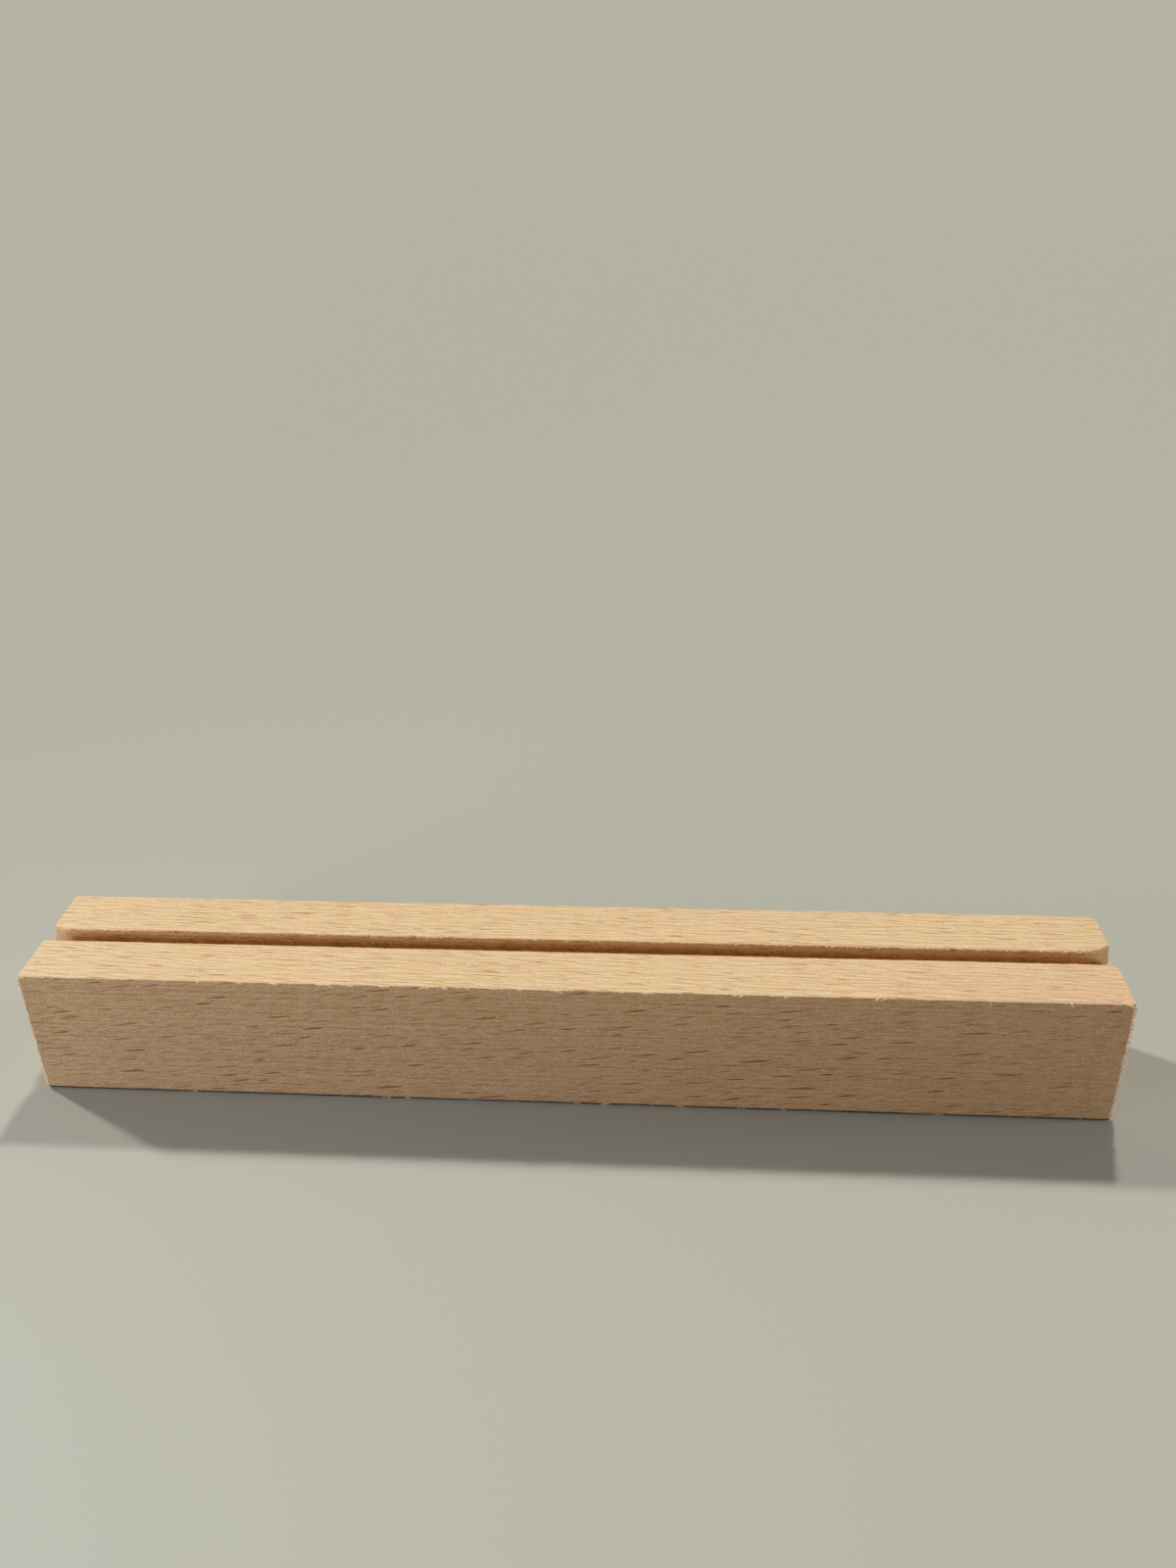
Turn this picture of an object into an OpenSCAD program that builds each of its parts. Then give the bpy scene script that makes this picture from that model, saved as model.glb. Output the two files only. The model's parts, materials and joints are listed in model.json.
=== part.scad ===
// Place card holder: one square bar of beech with a straight slot sawn along its top face.
// Millimetres. X runs along the bar, -Y is the front, +Z is up.
// The origin is on the table, under the middle of the bar.

/* [Bar] */
// Length of the bar, along the grain
bar_l = 150; // [100:1:220]
// Width of the bar, from front to rear
bar_w = 20; // [14:0.5:32]
// Height of the bar
bar_h = 20; // [16:0.5:32]

/* [Card slot] */
// Width of the slot, which is the saw's kerf
slot_w = 2.8; // [1:0.1:4]
// Depth of the slot below the top face
slot_d = 10; // [7:0.5:12]
// How far the slot lies behind the middle of the bar
slot_y = 0; // [-1:0.1:1]

/* [Eased edges] */
// Radius on the four long edges
long_edge_r = 0.3; // [0.1:0.05:0.8]
// Radius on the top and bottom edges of the two sawn ends
end_edge_r = 0.3; // [0.1:0.05:0.8]
// Radius on the upright edge at the front left
front_left_r = 0.3; // [0.1:0.05:2]
// Radius on the upright edge at the front right
front_right_r = 0.6; // [0.1:0.05:2]
// Radius on the upright edge at the rear right
rear_right_r = 1.2; // [0.1:0.05:2]
// Radius on the upright edge at the rear left
rear_left_r = 0.3; // [0.1:0.05:2]

/* [Right mouth of the slot] */
// Length over which the rear wall of the slot turns out
rear_right_run = 5.2; // [2:0.1:9]
// How far the rear wall has gone back where it meets the end
rear_right_back = 1.4; // [0.2:0.05:1.9]
// Length over which the front wall of the slot turns out
front_right_run = 1.3; // [1.2:0.1:9]
// How far the front wall has come forward where it meets the end
front_right_back = 1.1; // [0.2:0.05:1.2]
// Depth below the top face at which the right mouth has faded away
right_fade = 3.4; // [1:0.1:5]

/* [Left mouth of the slot] */
// Length over which the rear wall of the slot turns out
rear_left_run = 3.6; // [2:0.1:9]
// How far the rear wall has gone back where it meets the end
rear_left_back = 0.8; // [0.2:0.05:1.9]
// Length over which the front wall of the slot turns out
front_left_run = 0.6; // [0.5:0.1:9]
// How far the front wall has come forward where it meets the end
front_left_back = 0.4; // [0.2:0.05:0.5]
// Depth below the top face at which the left mouth has faded away
left_fade = 2; // [1:0.1:5]

/* [Hidden] */
overrun = 1;
$fn = 96;
slot_floor_z = bar_h - slot_d;

// The waste at a square corner that leaves a quarter round of radius r. The corner is at the
// origin and the stock lies towards +X and +Y.
module corner_waste(r) {
    difference() {
        translate([-overrun, -overrun]) square(r + overrun);
        translate([r, r]) circle(r);
    }
}

// A rectangle of the given size, centred on X and standing on Y = 0, with its corners rounded by
// radii, counted from the low left corner anticlockwise.
module eased_rectangle(size, radii) {
    difference() {
        translate([-size.x / 2, 0]) square(size);
        translate([-size.x / 2, 0]) corner_waste(radii[0]);
        translate([size.x / 2, 0]) mirror([1, 0]) corner_waste(radii[1]);
        translate([size.x / 2, size.y]) rotate(180) corner_waste(radii[2]);
        translate([-size.x / 2, size.y]) mirror([0, 1]) corner_waste(radii[3]);
    }
}

// The bar before the slot is sawn: what its end view, its front view and its plan all leave.
module eased_bar() {
    long_edges = [for (corner = [0 : 3]) long_edge_r];
    end_edges = [for (corner = [0 : 3]) end_edge_r];
    upright_edges = [front_left_r, front_right_r, rear_right_r, rear_left_r];
    intersection() {
        rotate([90, 0, 90])
            linear_extrude(bar_l, center = true)
                eased_rectangle([bar_w, bar_h], long_edges);
        rotate([90, 0, 0])
            linear_extrude(bar_w, center = true)
                eased_rectangle([bar_l, bar_h], end_edges);
        linear_extrude(bar_h)
            translate([0, -bar_w / 2])
                eased_rectangle([bar_l, bar_w], upright_edges);
    }
}

// The saw's path, which runs out of both ends and the top.
module saw_cut() {
    translate([-bar_l / 2 - overrun, slot_y - slot_w / 2, slot_floor_z])
        cube([bar_l + 2 * overrun, slot_w, slot_d + overrun]);
}

// The waste where one slot wall turns out at an end. The wall lies in the plane Y = 0 with the
// stock towards +Y, the end in X = 0 with the stock towards -X, and the top face in Z = 0.
// Its outline is an arc that touches the wall at the start of the run and leaves the end that far
// back. It leans over the slot as it goes down, so the turn has gone at the depth called fade.
module mouth_waste(run, back, fade) {
    lean = atan(back / fade);
    square_back = back * cos(lean);
    r = (run * run + square_back * square_back) / (2 * square_back);
    intersection() {
        translate([-run, -slot_w / 2, -fade - overrun])
            cube([run + overrun, slot_w + back, fade + 2 * overrun]);
        rotate([-lean, 0, 0])
            linear_extrude(4 * (fade + overrun), center = true)
                difference() {
                    translate([-run, square_back - slot_w - back])
                        square([run + overrun, slot_w + back]);
                    translate([-run, r]) circle(r);
                }
    }
}

module slotted_block() {
    color("burlywood")
        difference() {
            eased_bar();
            saw_cut();
            translate([bar_l / 2, slot_y + slot_w / 2, bar_h])
                mouth_waste(rear_right_run, rear_right_back, right_fade);
            translate([bar_l / 2, slot_y - slot_w / 2, bar_h])
                mirror([0, 1, 0])
                    mouth_waste(front_right_run, front_right_back, right_fade);
            translate([-bar_l / 2, slot_y + slot_w / 2, bar_h])
                mirror([1, 0, 0])
                    mouth_waste(rear_left_run, rear_left_back, left_fade);
            translate([-bar_l / 2, slot_y - slot_w / 2, bar_h])
                rotate([0, 0, 180])
                    mouth_waste(front_left_run, front_left_back, left_fade);
        }
}

slotted_block();
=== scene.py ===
import itertools
import json
import math
import random
from types import SimpleNamespace

import bpy
import numpy as np
from mathutils import Matrix, Vector


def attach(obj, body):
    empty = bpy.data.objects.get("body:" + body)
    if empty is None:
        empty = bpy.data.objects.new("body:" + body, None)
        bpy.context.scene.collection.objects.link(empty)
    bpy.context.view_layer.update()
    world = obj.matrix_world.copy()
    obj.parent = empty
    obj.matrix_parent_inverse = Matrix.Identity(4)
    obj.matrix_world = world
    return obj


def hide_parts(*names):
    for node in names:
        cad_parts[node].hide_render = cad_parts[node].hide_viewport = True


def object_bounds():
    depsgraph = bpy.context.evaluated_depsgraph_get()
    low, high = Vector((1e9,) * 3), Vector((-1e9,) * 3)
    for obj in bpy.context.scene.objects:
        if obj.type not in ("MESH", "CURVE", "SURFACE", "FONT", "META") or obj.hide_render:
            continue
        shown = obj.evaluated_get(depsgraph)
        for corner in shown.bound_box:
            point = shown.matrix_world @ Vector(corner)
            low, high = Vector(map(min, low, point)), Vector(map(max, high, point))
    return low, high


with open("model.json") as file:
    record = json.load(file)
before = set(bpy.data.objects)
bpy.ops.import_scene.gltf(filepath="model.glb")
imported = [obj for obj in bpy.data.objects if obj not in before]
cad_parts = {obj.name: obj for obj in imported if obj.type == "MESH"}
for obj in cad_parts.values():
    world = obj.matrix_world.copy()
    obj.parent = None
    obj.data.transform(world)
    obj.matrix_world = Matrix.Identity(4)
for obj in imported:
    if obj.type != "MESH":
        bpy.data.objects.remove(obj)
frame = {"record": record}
cad_low, cad_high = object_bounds()

MM = 0.001

# The bar and its slot, as the frame has them, and half the slot's width.
HALF_LENGTH = cad_high.x
HALF_WIDTH = cad_high.y
TOP = cad_high.z
SLOT_FLOOR = next(m["pos_m"][2] for m in frame["record"]["mounts"] if m["name"] == "card_slot")
HALF_SLOT = 1.4 * MM
# A point that is nearer than this to a plane lies in it.
TOUCH = 1e-9

# Radii of the four upright edges, by the sign of X and the sign of Y.
UPRIGHT_RADII = {
    (-1, -1): 0.5 * MM,
    (1, -1): 0.6 * MM,
    (1, 1): 1.2 * MM,
    (-1, 1): 0.3 * MM,
}

# Where a slot wall turns out at an end: the signs of X and Y, then the length of the turn, how far
# back it goes and the depth at which it has faded away.
REAR_RIGHT_MOUTH = (1, 1, 5.2 * MM, 1.4 * MM, 3.4 * MM)
MOUTHS = [
    REAR_RIGHT_MOUTH,
    (1, -1, 1.3 * MM, 1.1 * MM, 3.4 * MM),
    (-1, 1, 3.6 * MM, 0.8 * MM, 2.0 * MM),
    (-1, -1, 0.6 * MM, 0.4 * MM, 2.0 * MM),
]
# How far from a slot wall the mesh still moves with it, so that its faces stay even.
MOUTH_REACH = 4.5 * MM
# By the sign of X, how far in from the end the slot's walls have been rubbed clean of the saw's brown
# and its painted shade at the top, and how much less for each millimetre further down, in millimetres.
SANDED = {-1: (3.8, 0.4), 1: (6.2, 2.6)}


# Random values that are the same in every run.

HASH_STEP = np.uint64(0x9E3779B97F4A7C15)
HASH_END = np.uint64(0xD6E8FEB86659FD93)


def hashed(cells, seed):
    """A random value from -1 to 1 for each row of whole numbers."""
    key = np.full(len(cells), seed + 1, np.uint64)
    for column in cells.T.astype(np.uint64):
        key = (key ^ column) * HASH_STEP
        key ^= key >> np.uint64(31)
    key *= HASH_END
    return (key >> np.uint64(11)).astype(float) / 2.0 ** 52 - 1


def smooth_noise(seed, *pairs):
    """Smooth values from -1 to 1. Each pair is a coordinate and the length over which it changes."""
    places = np.stack([np.asarray(value) / cell for value, cell in pairs], 1)
    base = np.floor(places)
    share = places - base
    share = share * share * (3 - 2 * share)
    total = np.zeros(len(places))
    for corner in itertools.product((0, 1), repeat=len(pairs)):
        weight = np.prod(np.where(corner, share, 1 - share), 1)
        total += weight * hashed((base + corner).astype(np.int64), seed)
    return total


def fade(value, low, high):
    """0 up to low, 1 from high, and smooth between."""
    t = np.clip((value - low) / (high - low), 0, 1)
    return t * t * (3 - 2 * t)


# The lattice that the bar's surface starts from.

def graded(low, high, fine, coarse, growth=1.35):
    """Places from low to high, fine steps apart at both ends and up to coarse in the middle."""
    steps = [fine]
    while sum(steps) < (high - low) / 2:
        steps.append(min(coarse, steps[-1] * growth))
    steps = np.array(steps + steps[::-1])
    return low + np.concatenate([[0], np.cumsum(steps)]) * (high - low) / steps.sum()


def joined(*runs):
    """Runs of places one after another, each starting where the last one ends."""
    return np.concatenate([runs[0]] + [run[1:] for run in runs[1:]])


def lattice_surface(xs, ys, zs, solid):
    """Corners and outward quads of a bar whose cross section is the solid cells of ys by zs."""
    nx, ny, nz = len(xs), len(ys), len(zs)
    padded = np.pad(solid, 1)
    runs = np.arange(nx - 1)
    quads = []

    def corner(i, j, k):
        return (i * ny + j) * nz + k

    for j, k in itertools.product(range(ny), range(nz)):
        if k < nz - 1:
            right, left = padded[j + 1, k + 1], padded[j, k + 1]
            if right != left:
                a, b = (k, k + 1) if right else (k + 1, k)
                quads.append(np.stack([corner(runs, j, a), corner(runs + 1, j, a),
                                       corner(runs + 1, j, b), corner(runs, j, b)], 1))
        if j < ny - 1:
            above, below = padded[j + 1, k + 1], padded[j + 1, k]
            if above != below:
                a, b = (j + 1, j) if above else (j, j + 1)
                quads.append(np.stack([corner(runs, a, k), corner(runs + 1, a, k),
                                       corner(runs + 1, b, k), corner(runs, b, k)], 1))
    js, ks = np.nonzero(solid)
    for i, order in ((0, 1), (nx - 1, -1)):
        cap = np.stack([corner(i, js, ks), corner(i, js, ks + 1),
                        corner(i, js + 1, ks + 1), corner(i, js + 1, ks)], 1)
        quads.append(cap[:, ::order])
    used, quads = np.unique(np.concatenate(quads), return_inverse=True)
    i, j, k = used // (ny * nz), used // nz % ny, used % nz
    return np.stack([xs[i], ys[j], zs[k]], 1), quads.reshape(-1, 4)


def new_mesh_object(name, points, faces):
    """A mesh object from points and from faces with any number of corners."""
    mesh = bpy.data.meshes.new(name)
    mesh.vertices.add(len(points))
    mesh.vertices.foreach_set("co", np.asarray(points, np.float32).ravel())
    sides = np.array([len(face) for face in faces])
    corners = np.concatenate([np.asarray(face) for face in faces])
    starts = np.concatenate([[0], np.cumsum(sides)[:-1]])
    mesh.loops.add(len(corners))
    mesh.loops.foreach_set("vertex_index", corners.astype(np.int32))
    mesh.polygons.add(len(faces))
    mesh.polygons.foreach_set("loop_start", starts.astype(np.int32))
    mesh.update(calc_edges=True)
    mesh.validate()
    obj = bpy.data.objects.new(name, mesh)
    bpy.context.scene.collection.objects.link(obj)
    return obj


# Wear along the edges. Each edge's radius changes along the bar, and at chosen places a chip has
# come off, which leaves a flat facet with pointed ends.

# How each long edge is worn: the seed of its wandering, its mean radius, and how far the radius
# wanders slowly and in small nibbles, in millimetres.
EDGE_WEAR = {
    "top_front": (11, 0.25, 0.04, 0.09),
    "top_rear": (21, 0.26, 0.05, 0.07),
    "slot_rear": (31, 0.24, 0.08, 0.14),
    "slot_front": (41, 0.08, 0.02, 0.10),
    "low_front": (51, 0.17, 0.03, 0.06),
    "low_rear": (61, 0.26, 0.05, 0.10),
}
# The smallest radius of a long edge, and of an upright one.
SHARPEST_LONG = 0.04 * MM
SHARPEST_UPRIGHT = 0.12 * MM

# Each chip's middle along the bar, its half length and its depth, in millimetres.
FRONT_TOP_CHIPS = [
    (45.3, 1.7, 0.12),
    (3.2, 1.3, 0.10),
    (17.2, 1.0, 0.08),
    (37.9, 0.9, 0.08),
    (-15.4, 1.4, 0.02),
]
FRONT_BOTTOM_CHIPS = [
    (-13.0, 2.2, 0.08),
    (9.6, 1.2, 0.10),
    (51.0, 1.6, 0.08),
]


def chip_share(x, chips):
    """How far x is inside a chip, from 0 to 1, and the depth of the chip there."""
    share = np.zeros(len(x))
    depth = np.zeros(len(x))
    for middle, half_length, deepest in chips:
        here = np.clip(1 - ((x - middle * MM) / (half_length * MM)) ** 2, 0, 1)
        share = np.maximum(share, here)
        depth = np.maximum(depth, here * deepest * MM)
    return share, depth


def worn_radius(x, edge):
    """The radius of a long edge at x: its mean, slow wandering and small nibbles."""
    seed, *sizes = EDGE_WEAR[edge]
    radius, wander, nibble = (size * MM for size in sizes)
    slow = smooth_noise(seed, (x, 9 * MM)) + 0.6 * smooth_noise(seed + 3, (x, 2.3 * MM))
    quick = smooth_noise(seed + 1, (x, 0.55 * MM)) * (0.6 + smooth_noise(seed + 2, (x, 4 * MM)))
    return np.maximum(radius + wander * slow + nibble * quick, SHARPEST_LONG)


def eased(a, b, power):
    """How much of its distances a and b into a corner a point keeps when the corner is eased. Power
    2 gives a round and power 1 a flat facet."""
    inside = (a > 0) & (b > 0)
    length = (a ** power + b ** power + 1e-30) ** (1 / power)
    return np.where(inside, np.maximum(a, b) / length, 1)


def places_in_bar(rest):
    """Where each point of the lattice lies: its coordinates and their signs, and how deep it is under
    an outer face, a slot wall and an end."""
    at = SimpleNamespace(x=rest[:, 0], y=rest[:, 1], z=rest[:, 2])
    at.sx, at.sy = np.sign(at.x), np.sign(at.y)
    at.beside_slot = at.z > SLOT_FLOOR + TOUCH
    at.outer = HALF_WIDTH - np.abs(at.y)
    at.wall = np.where(at.beside_slot, np.abs(at.y) - HALF_SLOT, np.inf)
    at.end = HALF_LENGTH - np.abs(at.x)
    at.by_wall = at.wall < at.outer
    at.side = np.minimum(at.outer, at.wall)
    at.depth = np.minimum(at.end, at.side)
    # 1 where an end is nearer than a side, 0 where a side is, and smooth between.
    at.end_share = fade(at.side - at.end, -0.8 * MM, 0.8 * MM)
    at.on_front = ~at.by_wall & (at.sy < 0) & (at.end_share < 0.5)
    return at


def upright_radii(at):
    """The radius of the nearest upright edge at each point. The slot's own fade out at its floor."""
    corners = np.zeros(len(at.x))
    for (sx, sy), radius in UPRIGHT_RADII.items():
        here = (at.sx == sx) & (at.sy == sy)
        rough = 0.12 * MM * smooth_noise(70 + sx + 2 * sy, (at.z, 0.5 * MM)) \
            + 0.12 * MM * smooth_noise(80 + sx + 2 * sy, (at.z, 2.5 * MM))
        corners[here] = np.maximum(radius + rough, SHARPEST_UPRIGHT)[here]
    mouths = 0.35 * MM * fade(at.z, SLOT_FLOOR, SLOT_FLOOR + 2 * MM)
    return np.where(at.by_wall, mouths, corners)


def rounded_in_plan(at):
    """Rounds the upright edges. Gives x and y and the way out of the wood at each point, in plan."""
    radii = upright_radii(at)
    a = np.maximum(radii - at.end, 0)
    b = np.maximum(radii - at.side, 0)
    both = (a > 0) & (b > 0)
    length = np.hypot(a, b) + 1e-12
    keep = eased(a, b, 2)
    to_side = np.where(at.by_wall, -at.sy, at.sy)
    out_x = np.where(both, a / length, at.end < at.side) * at.sx
    out_y = np.where(both, b / length, at.end >= at.side) * to_side
    x = at.x - at.sx * a * (1 - keep)
    y = at.y - to_side * b * (1 - keep)
    return x, y, out_x, out_y


def long_edge_radii(at, x):
    """The radius of the nearest long edge at each point: on the top, and on the underside."""
    worn = {edge: worn_radius(x, edge) for edge in EDGE_WEAR}
    near_mouth = fade(np.abs(x), HALF_LENGTH - 4.5 * MM, HALF_LENGTH - 0.8 * MM)
    slot_rear = np.minimum(worn["slot_rear"], 0.45 * MM)
    slot_rear = slot_rear + 0.08 * MM * near_mouth + 0.12 * MM * fade(x, -5 * MM, 45 * MM)
    slot_front = worn["slot_front"] + near_mouth * 0.10 * MM
    rear = at.sy > 0
    in_slot = np.where(rear, slot_rear, slot_front)
    outside = np.where(rear, worn["top_rear"], worn["top_front"])
    low = np.where(rear, worn["low_rear"], worn["low_front"])
    return np.where(at.by_wall, in_slot, outside), low


def rounded_in_height(at, x, y, out_x, out_y):
    """Rounds the edges of the top and of the underside, all round the plan, and takes off the chips."""
    end_radius = np.where(x > 0, 0.14, 0.24) * MM \
        + 0.06 * MM * smooth_noise(91, (y, 0.6 * MM), (x, 20 * MM))
    top_radius, low_radius = long_edge_radii(at, x)
    edges = (
        (TOP, -1, top_radius, chip_share(x, FRONT_TOP_CHIPS)),
        (0.0, 1, low_radius, chip_share(x, FRONT_BOTTOM_CHIPS)),
    )
    z = at.z
    for level, inwards, side_radius, (share, chipped) in edges:
        radius = side_radius + (end_radius - side_radius) * at.end_share + chipped * at.on_front
        in_plan = np.maximum(radius - at.depth, 0)
        in_height = np.maximum(radius - np.abs(level - at.z), 0)
        keep = eased(in_plan, in_height, 2 - 0.9 * np.sqrt(share * at.on_front))
        x = x - out_x * in_plan * (1 - keep)
        y = y - out_y * in_plan * (1 - keep)
        z = z + inwards * in_height * (1 - keep)
    return x, y, z


def mouth_turn(x, z, sx, run, back, fade_depth):
    """How far a slot wall has turned out at x and z, as the solid has it, with a softer start."""
    lean = math.atan(back / fade_depth)
    square_back = back * math.cos(lean)
    radius = (run * run + square_back * square_back) / (2 * square_back)
    along = np.clip(sx * x - (HALF_LENGTH - run), 0, run)
    arc = radius - np.sqrt(radius * radius - along * along)
    turned = arc / math.cos(lean) - (TOP - z) * back / fade_depth
    soft = 0.08 * MM
    return (turned + np.sqrt(turned * turned + soft * soft)) / 2 * fade(along, 0, 0.4 * run)


def turned_mouths(at, x, y, z):
    """Turns the slot's walls out at its mouths. Gives y and the share of sanding at each point."""
    ragged = 0.5 * MM * smooth_noise(97, (x, 0.5 * MM), (z, 0.4 * MM)) \
        + 0.4 * MM * smooth_noise(98, (z, 1.2 * MM))
    reach = np.clip(1 - at.wall / MOUTH_REACH, 0, 1) ** 1.5
    sanded = np.zeros(len(x))
    for sx, sy, run, back, fade_depth in MOUTHS:
        here = (at.sx == sx) & (at.sy == sy) & at.beside_slot
        turned = mouth_turn(x, z, sx, run, back, fade_depth)
        y = y + np.where(here, sy * reach * turned, 0)
        rub_run, rub_slope = SANDED[sx]
        inside = sx * x + ragged - (HALF_LENGTH - rub_run * MM) - rub_slope * (TOP - z)
        rubbed = np.maximum(fade(turned, 0.02 * MM, 0.30 * MM), fade(inside, -0.6 * MM, 1.6 * MM))
        sanded = np.where(here & (at.wall < 0.5 * MM), rubbed, sanded)
    return y, np.clip(sanded, 0, 1)


def rim_rise(at, x, y):
    """How far the underside rises towards its edges, so that they stand clear of the table."""
    rim = np.clip(1 - at.depth / (1.1 * MM), 0, 1) * fade(-at.z, -2 * MM, 0)
    return rim * (0.09 * MM + 0.03 * MM * smooth_noise(95, (x, 3 * MM), (y, 3 * MM)))


def bared_ray(at, x):
    """How far a chip of the front's top edge has bared the flat of a ray at each point, from 0 to 1."""
    share, _ = chip_share(x, FRONT_TOP_CHIPS)
    from_corner = np.hypot(at.outer, TOP - at.z) / MM
    facet = 0.05 + 0.29 * np.sqrt(share)
    bared = 1 - fade(from_corner, facet - 0.14, facet + 0.04)
    return np.where(at.on_front & (share > 0), bared, 0)


def shaped_bar(rest):
    """Moves the lattice's points onto the bar's worn surface. Also gives the shares of bared ray and
    of sanding at each point."""
    at = places_in_bar(rest)
    x, y, out_x, out_y = rounded_in_plan(at)
    bared = bared_ray(at, x)
    x, y, z = rounded_in_height(at, x, y, out_x, out_y)
    y, sanded = turned_mouths(at, x, y, z)
    z = z + rim_rise(at, x, y)
    return np.stack([x, y, z], 1), bared, sanded


# The bar's mesh, with the marks of the saws.

# The centre of the saw that cut the ends lay this far in front of the bar and below it.
END_SAW_AHEAD = 70 * MM
END_SAW_BELOW = 95 * MM
# How far apart the teeth of each saw left their marks.
END_MARK_STEP = 0.9 * MM
SLOT_MARK_STEP = 1.7 * MM
# This far to the left, which is well past the bar, the count of the marks in the slot starts.
SLOT_MARK_START = 400 * MM


def vertex_normals(points, quads):
    a, b, c, d = (points[quads[:, n]] for n in range(4))
    across = np.cross(c - a, d - b)
    normals = np.zeros_like(points)
    for n, axis in itertools.product(range(4), range(3)):
        normals[:, axis] += np.bincount(quads[:, n], across[:, axis], len(points))
    return normals / (np.linalg.norm(normals, axis=1, keepdims=True) + 1e-20)


def sawn_roughness(rest, points):
    """How far each point stands out of the smooth surface: saw marks on the ends and in the slot."""
    x, y, z = rest.T
    end = np.abs(x) > HALF_LENGTH - TOUCH
    wall = (z > SLOT_FLOOR + TOUCH) & (np.abs(np.abs(y) - HALF_SLOT) < TOUCH)
    floor = (np.abs(z - SLOT_FLOOR) < TOUCH) & (np.abs(y) < HALF_SLOT + TOUCH)
    px, py, pz = points.T
    from_end_saw = np.hypot(py + END_SAW_AHEAD, pz + END_SAW_BELOW)
    end_marks = 0.016 * MM * np.sin(from_end_saw * math.tau / END_MARK_STEP) \
        + 0.030 * MM * smooth_noise(101, (py, 0.3 * MM), (pz, 0.3 * MM), (px, 9 * MM)) \
        + 0.030 * MM * smooth_noise(102, (py, 1.4 * MM), (pz, 1.4 * MM), (px, 9 * MM))
    from_tooth = np.hypot((px + SLOT_MARK_START) % SLOT_MARK_STEP, pz * 0.3)
    wall_marks = 0.018 * MM * smooth_noise(103, (px, 0.45 * MM), (pz, 0.5 * MM), (py, 9 * MM)) \
        + 0.020 * MM * smooth_noise(104, (px, 1.6 * MM), (pz, 3 * MM), (py, 9 * MM)) \
        + 0.004 * MM * np.sin(from_tooth * math.tau / SLOT_MARK_STEP)
    planed = 0.006 * MM * smooth_noise(105, (px, 7 * MM), (py, 2.5 * MM), (pz, 2.5 * MM))
    return np.where(end, end_marks, np.where(wall | floor, wall_marks, planed))


def bar_lattice():
    """Points and quads of the bar with sharp edges, close together near each edge."""
    xs = graded(-HALF_LENGTH, HALF_LENGTH, fine=0.06 * MM, coarse=0.22 * MM)
    ys = joined(graded(-HALF_WIDTH, -HALF_SLOT, fine=0.05 * MM, coarse=0.9 * MM),
                graded(-HALF_SLOT, HALF_SLOT, fine=0.1 * MM, coarse=0.5 * MM),
                graded(HALF_SLOT, HALF_WIDTH, fine=0.05 * MM, coarse=0.9 * MM))
    zs = joined(graded(0, SLOT_FLOOR, fine=0.05 * MM, coarse=0.9 * MM),
                graded(SLOT_FLOOR, TOP, fine=0.05 * MM, coarse=0.35 * MM))
    middle_y = (ys[1:] + ys[:-1]) / 2
    middle_z = (zs[1:] + zs[:-1]) / 2
    solid = (np.abs(middle_y)[:, None] > HALF_SLOT) | (middle_z[None, :] < SLOT_FLOOR)
    return lattice_surface(xs, ys, zs, solid)


def make_bar():
    """The slotted bar, as one closed mesh."""
    rest, quads = bar_lattice()
    points, bared, sanded = shaped_bar(rest)
    points = points + vertex_normals(points, quads) * sawn_roughness(rest, points)[:, None]
    points[:, 2] = np.maximum(points[:, 2], 0)
    bar = new_mesh_object("beech_block", points, quads)
    for name, shares in (("bared", bared), ("sanded", sanded)):
        attribute = bar.data.attributes.new(name, "FLOAT", "POINT")
        attribute.data.foreach_set("value", shares.astype(np.float32))
    bar.data.shade_smooth()
    bar.data.set_sharp_from_angle(angle=math.radians(50))
    return bar


# Materials.

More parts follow.
